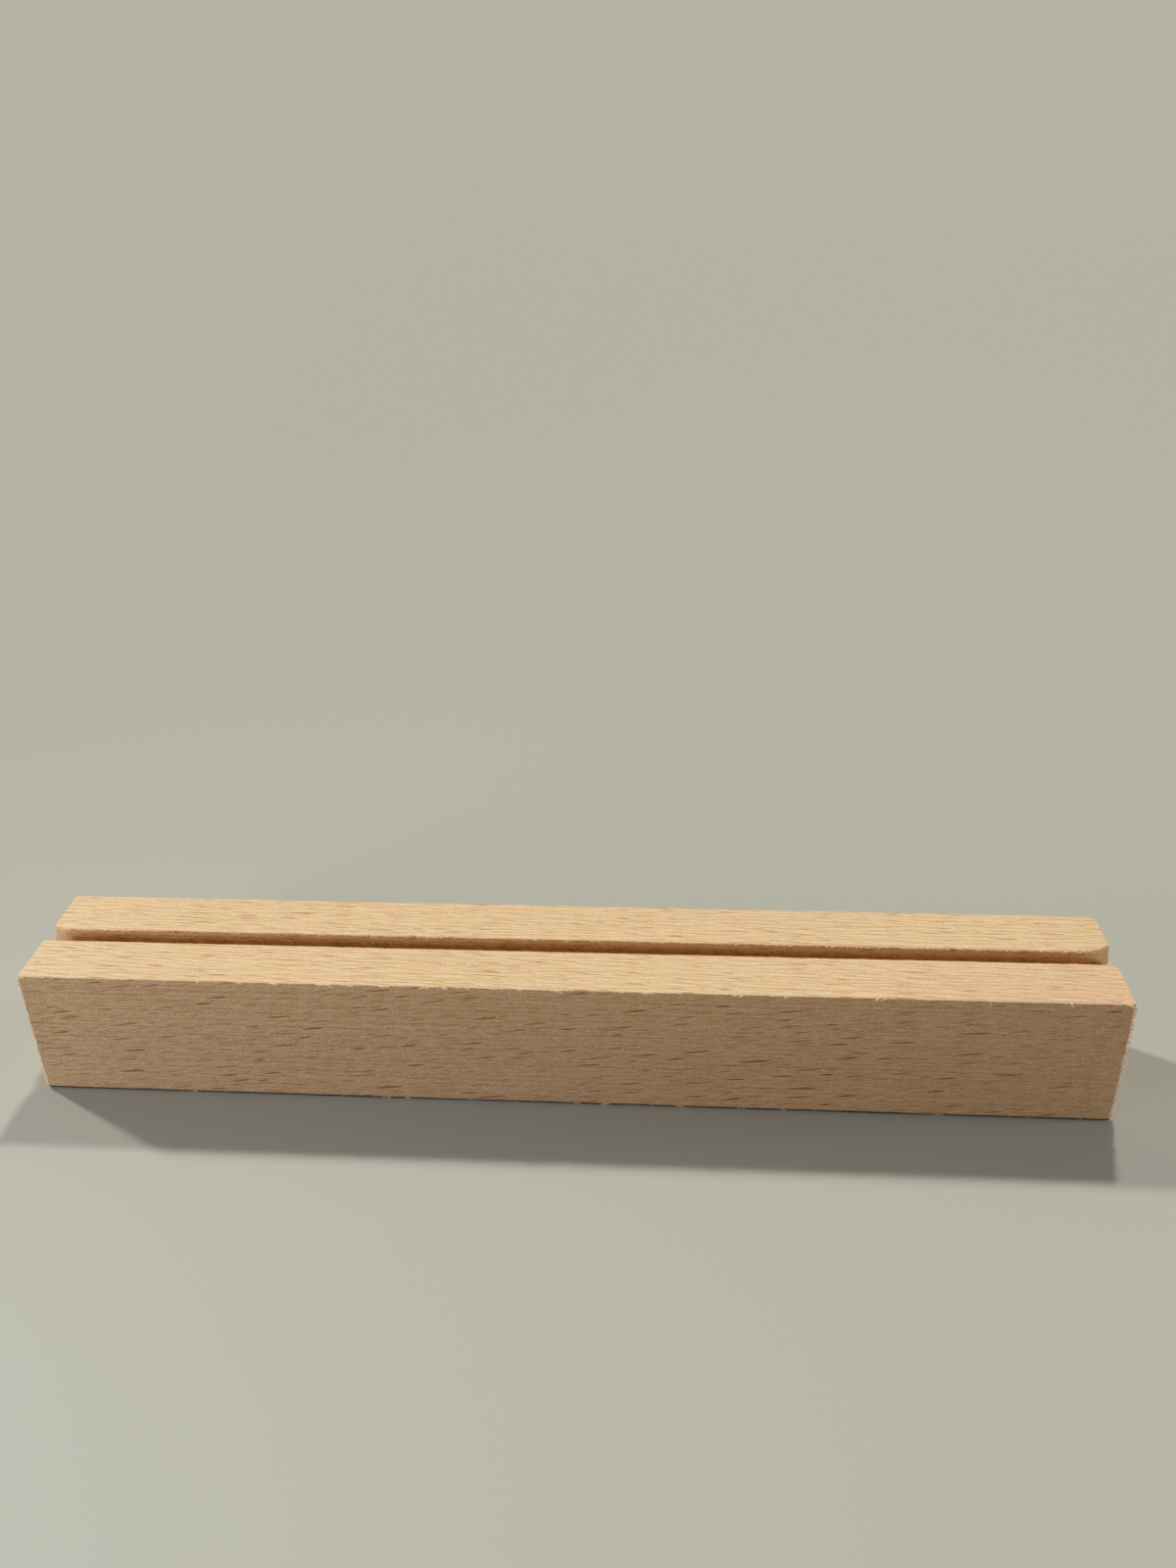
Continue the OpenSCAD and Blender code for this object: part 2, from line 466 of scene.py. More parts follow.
class Graph:
    """Makes shader nodes in short calls. Each call gives back the node's output socket."""

    def __init__(self, name):
        self.material = bpy.data.materials.new(name)
        self.material.use_nodes = True
        self.tree = self.material.node_tree
        self.tree.nodes.clear()

    def node(self, kind, inputs=(), output=0, **settings):
        node = self.tree.nodes.new(kind)
        for name, value in settings.items():
            setattr(node, name, value)
        for name, value in dict(inputs).items():
            if isinstance(value, bpy.types.NodeSocket):
                self.tree.links.new(value, node.inputs[name])
            else:
                node.inputs[name].default_value = value
        return node.outputs[output] if node.outputs else None

    def math(self, operation, *values):
        return self.node("ShaderNodeMath", enumerate(values), operation=operation)

    def times(self, first, *others):
        """The product of all these values."""
        product = first
        for value in others:
            product = self.math("MULTIPLY", product, value)
        return product

    def less(self, mask, loss=1.0):
        """1 where the mask is 0, and 1 less the loss where the mask is 1."""
        return self.math("MULTIPLY_ADD", mask, -loss, 1.0)

    def vector(self, x=0.0, y=0.0, z=0.0):
        return self.node("ShaderNodeCombineXYZ", enumerate((x, y, z)))

    def parts(self, vector):
        return tuple(self.node("ShaderNodeSeparateXYZ", {0: vector}).node.outputs)

    def attribute(self, name):
        return self.node("ShaderNodeAttribute", output="Fac", attribute_name=name)

    def noise(self, vector, detail=2.0, roughness=0.5):
        """Smooth noise about 0.5, one feature for each unit of the vector."""
        inputs = {"Vector": vector, "Scale": 1.0, "Detail": detail, "Roughness": roughness}
        return self.node("ShaderNodeTexNoise", inputs)

    def ramp(self, value, low, high, to_low=0.0, to_high=1.0):
        inputs = {"Value": value, "From Min": low, "From Max": high, "To Min": to_low, "To Max": to_high}
        return self.node("ShaderNodeMapRange", inputs, interpolation_type="SMOOTHSTEP")

    def mix(self, share, under, over, blend="MIX"):
        """One colour with a share of another laid over it or multiplied into it. The numbers are the
        places of the Mix node's colour sockets."""
        inputs = {0: share, 6: under, 7: over}
        return self.node("ShaderNodeMix", inputs, output=2, data_type="RGBA", blend_type=blend)

    def surface(self, colour, roughness, specular, height=None):
        """The finished material. The height is in millimetres and stands out as a bump."""
        inputs = {"Base Color": colour, "Roughness": roughness, "Specular IOR Level": specular}
        if height is not None:
            bump = {"Height": height, "Strength": 1.0, "Distance": MM}
            inputs["Normal"] = self.node("ShaderNodeBump", bump)
        shader = self.node("ShaderNodeBsdfPrincipled", inputs)
        self.node("ShaderNodeOutputMaterial", {"Surface": shader})
        return self.material


def srgb(r, g, b):
    """An sRGB colour of 0 to 255 as linear light."""
    channels = [c / 255 for c in (r, g, b)]
    return tuple(c / 12.92 if c <= 0.04045 else ((c + 0.055) / 1.055) ** 2.4 for c in channels) + (1.0,)


def scaled(g, place, *sizes):
    """The place's coordinates divided by these lengths, as a vector for a texture."""
    return g.vector(*(g.math("DIVIDE", part, size) for part, size in zip(place, sizes)))


# The rays lean back from upright by this much, so the front shows them broader than the top does.
RAY_LEAN = math.radians(30)
# How far the grain runs off the bar's own direction, across the rays, for each millimetre of length.
GRAIN_SLOPE = 0.047
# The height of the bar's middle, in millimetres.
BAR_MIDDLE_Z = 10.0

# Growth rings: how far apart they are and how far off the pith lies, in millimetres.
RING_SPACING = 4.5
PITH_DISTANCE = 90
# The rings are counted from this far below the bar's middle, so that their numbers are above zero.
RING_COUNT_START = 60.0

# Three kinds of ray flecks. Each cell of wood holds one of each kind. A kind has the cell's size along
# the grain, across the rays and along them, the usual half length and half thickness of a fleck, in
# millimetres, and a shift that sets its cells apart from the other kinds'.
STRONG_FLECKS = ((7.2, 0.62, 9.0), (2.00, 0.080), 3.1)
FAINT_FLECKS = ((4.4, 0.40, 6.0), (1.30, 0.042), 17.3)
DASHES = ((2.2, 0.19, 3.0), (0.65, 0.022), 41.7)
# A fleck has at least the first share of its usual size, and at most both shares together.
FLECK_LEAST_SHARE = 0.6
FLECK_MORE_SHARE = 0.8


def fleck_size(g, random_share, usual):
    return g.math("MULTIPLY_ADD", random_share, FLECK_MORE_SHARE * usual, FLECK_LEAST_SHARE * usual)


def flecks(g, grain, cell, half_size, shift):
    """Lens-shaped flecks, one in each cell, with random length, thickness and tilt. Gives how deep a
    point lies inside its fleck in mm, a random value and the place along the fleck from -1 to 1."""
    along, across, deep = (g.math("DIVIDE", part, size) for part, size in zip(grain, cell))
    place = g.vector(along, g.math("ADD", across, shift), deep)
    cells = {"Vector": place, "Scale": 1.0, "Randomness": 0.65}
    voronoi = g.node("ShaderNodeTexVoronoi", cells, voronoi_dimensions="3D").node
    border = g.node("ShaderNodeTexVoronoi", cells, voronoi_dimensions="3D", feature="DISTANCE_TO_EDGE")
    colour = g.node("ShaderNodeSeparateColor", {0: voronoi.outputs["Color"]}).node
    random_length, random_width, random_other = (colour.outputs[n] for n in range(3))
    px, py, _ = g.parts(place)
    cx, cy, _ = g.parts(voronoi.outputs["Position"])
    off_along = g.math("MULTIPLY", g.math("SUBTRACT", px, cx), cell[0])
    off_across = g.math("MULTIPLY", g.math("SUBTRACT", py, cy), cell[1])
    tilt = g.math("MULTIPLY_ADD", random_other, 0.09, -0.088)
    off_across = g.math("ADD", off_across, g.math("MULTIPLY", off_along, tilt))
    u = g.math("DIVIDE", off_along, fleck_size(g, random_length, half_size[0]))
    bulge = g.math("SUBTRACT", 1.0, g.math("MULTIPLY", u, u))
    bulge = g.math("SUBTRACT", bulge, g.ramp(border, 0.0, 0.10, 0.8, 0.0))
    half_thick = g.math("MULTIPLY", bulge, fleck_size(g, random_width, half_size[1]))
    inside = g.math("SUBTRACT", half_thick, g.math("ABSOLUTE", off_across))
    frayed = g.noise(scaled(g, grain, 0.9, 0.05, 0.05), detail=1.0)
    inside = g.math("MULTIPLY_ADD", g.math("SUBTRACT", frayed, 0.5), 0.8 * half_size[1], inside)
    return inside, random_other, u


def wood_coordinates(g):
    """Places in mm along the grain, across the rays and outwards along them, and the plain ones."""
    here = g.node("ShaderNodeTexCoord", output="Object")
    x, y, z = g.parts(g.node("ShaderNodeVectorMath", {0: here, 3: 1 / MM}, operation="SCALE"))
    up = g.math("SUBTRACT", z, BAR_MIDDLE_Z)
    lean_sin, lean_cos = math.sin(RAY_LEAN), math.cos(RAY_LEAN)
    radial = g.math("MULTIPLY_ADD", y, lean_sin, g.math("MULTIPLY", up, lean_cos))
    across = g.math("MULTIPLY_ADD", y, -lean_cos, g.math("MULTIPLY", up, lean_sin))
    wander = g.noise(scaled(g, (x, across, radial), 42, 30, 30), detail=1.0)
    ripple = g.noise(scaled(g, (x, across, radial), 9, 5, 5), detail=1.0)
    slope = g.math("MULTIPLY_ADD", x, -GRAIN_SLOPE, g.math("MULTIPLY", wander, 0.9))
    across = g.math("ADD", g.math("ADD", across, slope), g.math("MULTIPLY", ripple, 0.07))
    return (x, across, radial), (x, y, z)


def lines(g, place, sizes, strength):
    """Long fine lines about 0.5, as strong as asked for. They are noise less the same noise a little
    way across, which leaves no broad patches."""
    along, across = (g.math("DIVIDE", part, size) for part, size in zip(place, sizes))
    here = g.noise(g.vector(along, across), detail=0.0)
    beside = g.noise(g.vector(along, g.math("ADD", across, 0.7)), detail=0.0)
    return g.math("MULTIPLY_ADD", g.math("SUBTRACT", here, beside), strength, 0.5)


def growth_rings(g, grain):
    """The share of late wood: it builds up slowly across each ring and ends at once."""
    _, across, radial = grain
    wave = g.noise(scaled(g, grain, 55, 9, 9), detail=2.0)
    bow = g.times(across, across, 1 / (2 * PITH_DISTANCE))
    ring = g.math("ADD", g.math("ADD", radial, bow), g.math("MULTIPLY", wave, 2.0))
    ring = g.math("DIVIDE", g.math("ADD", ring, RING_COUNT_START), RING_SPACING)
    phase = g.math("FRACT", ring)
    late = g.times(g.ramp(phase, 0.45, 0.93), g.ramp(phase, 0.955, 1.0, 1.0, 0.0))
    number = g.math("FLOOR", ring)
    strength = g.node("ShaderNodeTexWhiteNoise", {"W": number}, noise_dimensions="1D")
    return g.times(late, g.math("MULTIPLY_ADD", strength, 0.7, 0.3))


def wood_sockets(g):
    """Places, masks and noises that the layers of the beech share. A mask is 1 on the end grain, on
    faces along the grain, on the upright outer faces, on level ones or in the sanded mouths."""
    wood = SimpleNamespace()
    wood.grain, wood.place = wood_coordinates(g)
    wood.x, wood.y, wood.z = wood.place
    normal_x, normal_y, normal_z = g.parts(g.node("ShaderNodeTexCoord", output="Normal"))
    wood.off_middle = g.math("ABSOLUTE", wood.y)
    wood.end_grain = g.ramp(g.math("ABSOLUTE", normal_x), 0.45, 0.8)
    wood.lengthwise = g.less(wood.end_grain)
    outside = g.ramp(wood.off_middle, 5.0, 6.0)
    wood.upright = g.times(g.ramp(g.math("ABSOLUTE", normal_y), 0.5, 0.9), outside)
    wood.top = g.ramp(normal_z, 0.5, 0.9)
    wood.calm_top = g.less(wood.top, 0.6)
    wood.sanded = g.attribute("sanded")
    wood.streak = g.noise(scaled(g, wood.grain, 5.5, 0.17, 0.17), detail=3.0, roughness=0.6)
    wood.fibre = g.noise(scaled(g, wood.grain, 2.4, 0.12, 0.12), detail=1.0)
    wood.late = growth_rings(g, wood.grain)
    return wood


def ground(g, wood):
    """The wood's broad colours: patches, painted light on the lower front, bands, late wood and streaks.
    """
    patch = g.noise(scaled(g, wood.grain, 38, 5, 5), detail=2.0)
    colour = g.mix(g.ramp(patch, 0.3, 0.7), srgb(240, 212, 165), srgb(238, 208, 163))
    # Painted light: the front is paler towards its foot, where less light falls.
    painted_light_low_front = g.ramp(wood.grain[2], -13.5, -4.0, 0.7, 0.0)
    colour = g.mix(painted_light_low_front, colour, srgb(253, 230, 190))
    band = g.noise(scaled(g, wood.grain, 16, 0.8, 0.8), detail=2.0)
    bands = g.times(g.ramp(band, 0.35, 0.65, 0.0, 0.06), wood.calm_top)
    colour = g.mix(bands, colour, srgb(222, 184, 140))
    colour = g.mix(g.times(wood.late, 0.08, wood.calm_top), colour, srgb(206, 164, 124))
    streaks = g.times(g.ramp(wood.streak, 0.34, 0.66, 0.0, 0.42), g.less(wood.top, 0.45))
    return g.mix(streaks, colour, srgb(206, 171, 114))


def fine_grain(g, wood, colour):
    """Pale and dark fibres, threads, specks and planing lines."""
    girth = g.math("ADD", wood.y, wood.z)
    sloping_girth = g.math("MULTIPLY_ADD", wood.x, 0.04, girth)
    thread = lines(g, (wood.x, sloping_girth), (4.5, 0.34), wood.lengthwise)
    speck = g.noise(scaled(g, wood.grain, 0.32, 0.13, 0.13), detail=1.0)
    planed = lines(g, (wood.x, girth), (70.0, 0.42), wood.lengthwise)
    # Each layer's noise, how pale and how dark it gets, and how much less of it the top shows.
    layers = (
        (wood.fibre, 0.58, 0.76, 0.55),
        (thread, 0.08, 0.16, -2.1),
        (speck, 0.68, 0.80, 0.40),
        (planed, 0.16, 0.20, 0.30),
    )
    for grains, light, dark, less_on_top in layers:
        share = g.less(wood.top, less_on_top)
        pale = g.times(share, g.ramp(grains, 0.50, 0.75, 0.0, light))
        brown_and_shade = g.times(share, g.ramp(grains, 0.48, 0.25, 0.0, dark))
        colour = g.mix(pale, colour, srgb(254, 236, 200))
        colour = g.mix(brown_and_shade, colour, srgb(188, 147, 88))
    return colour


def face_tints_and_light(g, wood, colour):
    """Browner wood towards the right, a pinker front right part of the top, and upright sides multiplied
    darker, partly their own tone and partly painted shade, with painted light lifting them towards the
    foot.
    """
    brownest_at = g.math("MULTIPLY_ADD", wood.top, -95.0, 40.0)
    colour = g.mix(g.ramp(wood.x, -90.0, brownest_at, 0.0, 0.22), colour, srgb(208, 162, 108))
    pinker = g.times(wood.top, g.ramp(wood.x, 30.0, 62.0), g.ramp(wood.y, -1.0, -5.0))
    colour = g.mix(pinker, colour, srgb(253, 246, 253), blend="MULTIPLY")
    # Partly the sides' own tone, partly painted shade; the lighter colour towards the foot is painted
    # light.
    side_tone_and_light = g.mix(g.ramp(wood.z, 0.0, 8.0), srgb(236, 219, 208), srgb(227, 213, 207))
    return g.mix(wood.upright, colour, side_tone_and_light, blend="MULTIPLY")


def pored_ends(g, wood, colour):
    """The end grain is darker, with late wood and pores. Also gives the pores."""
    pores = g.noise(scaled(g, wood.grain, 2, 0.11, 0.11), detail=1.0)
    pore = g.times(g.ramp(pores, 0.56, 0.66), wood.end_grain)
    colour = g.mix(g.times(wood.end_grain, 0.5), colour, srgb(208, 166, 120))
    colour = g.mix(g.times(wood.late, 0.4, wood.end_grain), colour, srgb(178, 132, 88))
    colour = g.mix(g.times(pore, 0.45), colour, srgb(134, 90, 52))
    return colour, pore


def ray_flecks(g, wood, colour):
    """Strong flecks with a pale halo, faint ones and fine dashes. Also gives the strong ones."""
    ray_colour = g.mix(wood.end_grain, srgb(160, 100, 14), srgb(230, 202, 160))
    core_colour = g.mix(wood.end_grain, srgb(146, 86, 14), ray_colour)
    strong, strong_random, along = flecks(g, wood.grain, *STRONG_FLECKS)
    faint, faint_random, _ = flecks(g, wood.grain, *FAINT_FLECKS)
    dash, dash_random, _ = flecks(g, wood.grain, *DASHES)
    rarer_on_top = g.times(wood.top, -0.35)

    around = g.times(g.ramp(strong, -0.09, -0.03), g.ramp(strong, -0.02, 0.0, 1.0, 0.0))
    colour = g.mix(g.times(around, 0.18, wood.calm_top), colour, srgb(250, 228, 188))
    kept = g.ramp(g.math("ADD", dash_random, rarer_on_top), 0.2, 0.9)
    fine = g.times(g.ramp(dash, -0.010, 0.014), kept)
    colour = g.mix(g.times(fine, g.math("MULTIPLY_ADD", wood.top, 0.30, 0.30)), colour, ray_colour)
    kept = g.ramp(g.math("ADD", faint_random, rarer_on_top), 0.1, 0.8)
    soft = g.times(g.ramp(faint, -0.012, 0.022), kept)
    colour = g.mix(g.times(soft, g.math("MULTIPLY_ADD", wood.top, 0.42, 0.58)), colour, ray_colour)

    kept = g.ramp(g.math("MULTIPLY_ADD", rarer_on_top, 0.4, strong_random), 0.2, 0.9, 0.15, 1.0)
    uneven = g.ramp(wood.streak, 0.30, 0.62, 0.75, 1.0)
    strength = g.times(kept, g.ramp(along, -1.0, 0.6, 0.6, 1.0), uneven)
    core = g.ramp(g.math("MULTIPLY_ADD", wood.top, -0.008, strong), -0.014, 0.030)
    outside_slot = g.ramp(wood.off_middle, 1.3, 2.0, 0.3, 1.0)
    core = g.times(core, strength, outside_slot, g.less(wood.sanded, 0.9))
    return g.mix(core, colour, core_colour), core


def chipped_edge(g, wood, colour):
    """Where a chip has come off the front's top edge, it has bared the flat of a ray."""
    share = g.times(g.attribute("bared"), g.ramp(wood.streak, 0.25, 0.6, 0.7, 1.0))
    return g.mix(share, colour, srgb(202, 151, 102))


def sawn_and_shaded_slot(g, wood, colour):
    """The slot's walls are browned by the saw and darkened with painted shade, the more the deeper they
    lie, and the sanded mouths are pale. Also gives the height of the saw's scrapes."""
    near_slot = g.ramp(wood.off_middle, 1.45, 1.66, 1.0, 0.0)
    in_slot = g.times(near_slot, wood.lengthwise, g.less(wood.sanded))
    slanted = g.math("MULTIPLY_ADD", wood.z, 0.9, wood.x)
    scrape = g.noise(scaled(g, (slanted, wood.y, wood.z), 0.42, 1.0, 0.7), detail=3.0, roughness=0.6)
    blotch = g.noise(scaled(g, wood.place, 3.0, 1.0, 1.2), detail=1.0)
    uneven = g.times(g.ramp(scrape, 0.3, 0.7, 0.4, 1.45), g.ramp(blotch, 0.3, 0.7, 0.55, 1.25))
    depth = g.math("SUBTRACT", TOP / MM, wood.z)
    depth = g.math("SUBTRACT", depth, g.ramp(wood.x, -20.0, 60.0, -0.12, 0.35))
    # Painted shade: the walls darken with depth in the slot, on top of the saw's brown.
    browned_and_shaded = g.times(g.ramp(depth, 0.1, 2.2), uneven)
    brown_and_shade = g.mix(browned_and_shaded, srgb(252, 229, 196), srgb(204, 178, 140))
    colour = g.mix(in_slot, colour, brown_and_shade, blend="MULTIPLY")
    rubbed = g.times(wood.sanded, g.ramp(scrape, 0.35, 0.65, 0.0, 0.25))
    colour = g.mix(rubbed, colour, srgb(252, 222, 180))
    colour = g.mix(wood.sanded, colour, srgb(255, 241, 229), blend="MULTIPLY")
    left_mouth = g.times(wood.sanded, g.ramp(wood.x, -75.0, -70.0, 0.30, 0.0))
    colour = g.mix(left_mouth, colour, srgb(252, 226, 184))
    return colour, g.times(scrape, in_slot)


def painted_foot_shadow(g, wood, colour):
    """Painted shade: the wood is darkened just above the foot, standing in for the contact shadow under
    the bar.
    """
    foot_shadow = g.times(g.ramp(wood.z, 0.28, 0.46, 1.0, 0.0), g.ramp(wood.streak, 0.2, 0.6, 0.85, 1.0))
    return g.mix(foot_shadow, colour, srgb(44, 34, 26), blend="MULTIPLY")


def beech(name):
    """Raw beech as a solid texture: growth rings, ray flecks, fibres, end grain and the saw's cut, with
    painted shade in the slot and along the foot and painted light on the lower sides.
    """
    g = Graph(name)
    wood = wood_sockets(g)
    colour = ground(g, wood)
    colour = fine_grain(g, wood, colour)
    colour = face_tints_and_light(g, wood, colour)
    colour, pore = pored_ends(g, wood, colour)
    colour, ray = ray_flecks(g, wood, colour)
    colour = chipped_edge(g, wood, colour)
    colour, scrape = sawn_and_shaded_slot(g, wood, colour)
    # Painted contact shadow along the foot.
    colour = painted_foot_shadow(g, wood, colour)
    height = g.times(wood.streak, 0.018)
    for layer, rise in ((wood.fibre, 0.020), (ray, -0.008), (pore, -0.03), (scrape, 0.06)):
        height = g.math("MULTIPLY_ADD", layer, rise, height)
    roughness = g.math("MULTIPLY_ADD", ray, -0.12, 0.66)
    return g.surface(colour, roughness, 0.3, height)


def pale_fibre(name):
    """Loose fibres: pale, with fine streaks along them and some browner ones among them."""
    g = Graph(name)
    grain, _ = wood_coordinates(g)
    tone = g.noise(scaled(g, grain, 0.9, 0.5, 0.5), detail=1.0)
    streak = g.noise(scaled(g, grain, 0.8, 0.04, 0.04), detail=2.0)
    colour = g.mix(g.ramp(tone, 0.35, 0.65), srgb(255, 238, 200), srgb(244, 214, 168))
    colour = g.mix(g.ramp(streak, 0.35, 0.65, 0.0, 0.35), colour, srgb(228, 194, 146))
    return g.surface(colour, 0.6, 0.3, height=g.times(streak, 0.012))


# Splinters and raised fibres.

# Some direction that no fibre runs in, which gives each fibre its sides.
ASIDE = Vector((0.31, 0.42, 0.85))
STRAIGHT = Vector((0, 0, 0))
# How deep the foot of a loose fibre sits in the wood of a long edge and of an end, in millimetres.
LONG_EDGE_FOOT = 0.04
END_FOOT = 0.15


def fibre_strip(base, tip, bend, width):
    """A thin pointed fibre from base to tip that bows along bend, as points and faces."""
    rings = 6
    points, faces = [], [[3, 2, 1, 0]]
    for n in range(rings):
        share = n / rings
        middle = base.lerp(tip, share) + bend * 4 * share * (1 - share)
        direction = (tip - base + bend * 4 * (1 - 2 * share)).normalized()
        side = direction.cross(ASIDE).normalized()
        other = direction.cross(side) * 0.6
        half = width / 2 * (1 - share) ** 0.7
        points += [middle + way * half for way in (side, other, -side, -other)]
    points.append(tip)
    for n, k in itertools.product(range(rings), range(4)):
        a, b = n * 4 + k, n * 4 + (k + 1) % 4
        faces.append([a, b, b + 4, a + 4] if n < rings - 1 else [a, b, len(points) - 1])
    return points, faces


def fibres_object(name, strips):
    """One object from many fibres."""
    points, faces = [], []
    for more_points, more_faces in strips:
        faces += [[index + len(points) for index in face] for face in more_faces]
        points += more_points
    obj = new_mesh_object(name, np.array([tuple(point) for point in points]), faces)
    obj.data.shade_smooth()
    return obj


def tuft(rng, place, out, count, length, width, stand):
    """Some slivers that have come loose around one place on a long edge. They leave along the grain
    and stand away from the wood, up to the length called stand."""
    strips = []
    out = Vector(out)
    way = rng.choice((-1.0, 1.0))
    for _ in range(count):
        shift = Vector((rng.uniform(-0.6, 0.6) * length, 0, 0))
        start = Vector(place) + shift - out * LONG_EDGE_FOOT * MM
        along = Vector((way * length * rng.uniform(0.3, 1.1), 0, 0))
        sag = Vector((0, 0, -stand * rng.uniform(0.0, 1.2)))
        tip = start + along + out * stand * rng.uniform(0.1, 1.0) + sag
        bow = out * stand * rng.uniform(-0.10, 0.15)
        strips.append(fibre_strip(start, tip, bow, width * rng.uniform(0.6, 1.2)))
    return strips


# Where fibres come loose on each long edge, as Y and Z.
FRONT_TOP_EDGE = (-HALF_WIDTH + 0.08 * MM, TOP - 0.08 * MM)
FRONT_BOTTOM_EDGE = (-HALF_WIDTH + 0.03 * MM, 0.25 * MM)
REAR_TOP_EDGE = (HALF_WIDTH - 0.08 * MM, TOP - 0.08 * MM)
SLOT_REAR_EDGE = (HALF_SLOT + 0.04 * MM, TOP - 0.12 * MM)
SLOT_FRONT_EDGE = (-HALF_SLOT - 0.03 * MM, TOP - 0.03 * MM)

# Places along the bar, number of fibres and their length, in millimetres.
FRONT_TOP_TUFTS = [
    (-74.2, 5, 0.6), (-49.5, 3, 0.7), (-43.7, 5, 0.8), (-39.4, 8, 1.0), (-32.3, 16, 1.3),
    (-28.5, 4, 0.7), (-24.0, 7, 1.1), (-18.0, 5, 1.0), (-15.8, 4, 0.8), (-12.3, 3, 0.7),
    (-8.8, 5, 0.8), (-5.2, 3, 0.6), (-0.9, 8, 1.1), (11.5, 10, 1.1), (23.8, 6, 0.9),
    (30.5, 5, 0.8), (42.5, 5, 1.0), (56.0, 2, 0.6), (66.5, 3, 0.6), (74.0, 6, 0.7),
]
FRONT_BOTTOM_TUFTS = [
    (-53.0, 3, 0.6), (-25.5, 5, 0.8), (-22.5, 4, 0.8), (1.7, 5, 0.8), (6.5, 7, 1.1),
    (15.8, 6, 1.0), (25.0, 3, 0.7), (30.4, 4, 0.7), (52.3, 5, 0.8), (64.0, 3, 0.6),
]
# Single splinters: the two ends, how far each bows up and its width, in millimetres.
SPLINTERS = [
    ((31.9, -8.5, 19.98), (32.9, -9.5, 20.12), 0.03, 0.16),
    ((-2.4, -8.7, 19.98), (-1.2, -9.5, 20.10), 0.02, 0.20),
    ((42.1, -9.85, 19.85), (43.1, -9.9, 20.40), 0.05, 0.20),
    ((42.0, -9.90, 19.80), (41.8, -10.35, 19.55), 0.02, 0.16),
    ((73.2, -1.60, 19.95), (75.5, -0.4, 20.35), 0.10, 0.15),
    ((74.2, 3.0, 19.90), (75.5, 2.7, 20.45), 0.05, 0.12),
    ((-21.6, 9.85, 19.90), (-20.5, 10.1, 20.40), 0.05, 0.12),
]
# Single fibres scattered along an edge: the edge, the way out of the wood, their number, their width
# and how far they stand out, in millimetres.
SCATTERED = [
    (FRONT_TOP_EDGE, (0, -1, 0.4), 110, 0.15, 0.22),
    (FRONT_BOTTOM_EDGE, (0, -1, 0), 50, 0.14, 0.15),
    (REAR_TOP_EDGE, (0, 0.3, 1), 50, 0.12, 0.25),
    (SLOT_REAR_EDGE, (0, -1, 0.1), 300, 0.20, 0.25),
    (SLOT_FRONT_EDGE, (0, 0.8, 0.6), 90, 0.12, 0.15),
]


def long_edge_fibres(rng):
    """Tufts along the front edges at their places, and small ones scattered along every long edge."""
    strips = []
    forward = (0, -1, 0.1)
    for x, count, length in FRONT_TOP_TUFTS:
        place = (x * MM, *FRONT_TOP_EDGE)
        strips += tuft(rng, place, forward, count, length * MM, width=0.35 * MM, stand=0.45 * MM)
    for x, count, length in FRONT_BOTTOM_TUFTS:
        place = (x * MM, *FRONT_BOTTOM_EDGE)
        strips += tuft(rng, place, forward, count, length * MM, width=0.26 * MM, stand=0.2 * MM)
    for base, tip, bow, width in SPLINTERS:
        bend = Vector((0, 0, bow * MM))
        strips.append(fibre_strip(Vector(base) * MM, Vector(tip) * MM, bend, width * MM))
    end_margin = 1 * MM
    for edge, out, count, width, stand in SCATTERED:
        for _ in range(count):
            x = rng.uniform(-HALF_LENGTH + end_margin, HALF_LENGTH - end_margin)
            length = rng.uniform(0.3, 0.8) * MM
            strips += tuft(rng, (x, *edge), out, 1, length, width * MM, stand * MM)
    return strips


def mouth_fibres(rng):
    """Torn chips along the rear wall's top edge where the slot's right mouth begins to turn."""
    strips = []
    _, _, run, back, _ = REAR_RIGHT_MOUTH
    for _ in range(46):
        x = rng.triangular(68.0, 74.6, 71.0) * MM
        turned = back * max(0.0, (x - (HALF_LENGTH - run)) / run) ** 2
        place = (x, HALF_SLOT + turned + 0.05 * MM, TOP - rng.uniform(0.05, 0.35) * MM)
        length = rng.uniform(0.3, 0.7) * MM
        strips += tuft(rng, place, (0, -1, 0.1), 1, length, width=0.26 * MM, stand=0.25 * MM)
    return strips


# Upright edges: the signs of X and Y, how far in from the corner the fibres start, their number, how
# far they reach out along X and along Y, and their width, in millimetres.
UPRIGHT_TUFTS = [
    (1, -1, 0.20, 190, 0.60, 0.14, 0.36),
    (-1, -1, 0.10, 340, 0.32, 0.10, 0.36),
    (1, 1, 0.38, 40, 0.40, 0.10, 0.20),
    (-1, 1, 0.10, 40, 0.25, 0.10, 0.20),
]


def end_fibres(rng):
    """Short torn fibres along the upright edges at both ends, worked out in millimetres."""
    strips = []
    for sx, sy, inset, count, reach_x, reach_y, width in UPRIGHT_TUFTS:
        base_x = sx * (HALF_LENGTH / MM - inset - END_FOOT)
        base_y = sy * (HALF_WIDTH / MM - inset)
        foot = Vector((sx * END_FOOT, 0, 0))
        for _ in range(count):
            base = Vector((base_x, base_y, rng.uniform(0.5, TOP / MM - 0.2)))
            out_y = sy * reach_y * rng.uniform(0.0, 1.0)
            reach = Vector((sx * reach_x, out_y, rng.uniform(-0.35, 0.2)))
            tip = base + reach * rng.uniform(0.4, 1.2) + foot
            strips.append(fibre_strip(base * MM, tip * MM, STRAIGHT, width * rng.uniform(0.5, 1.2) * MM))
    return strips


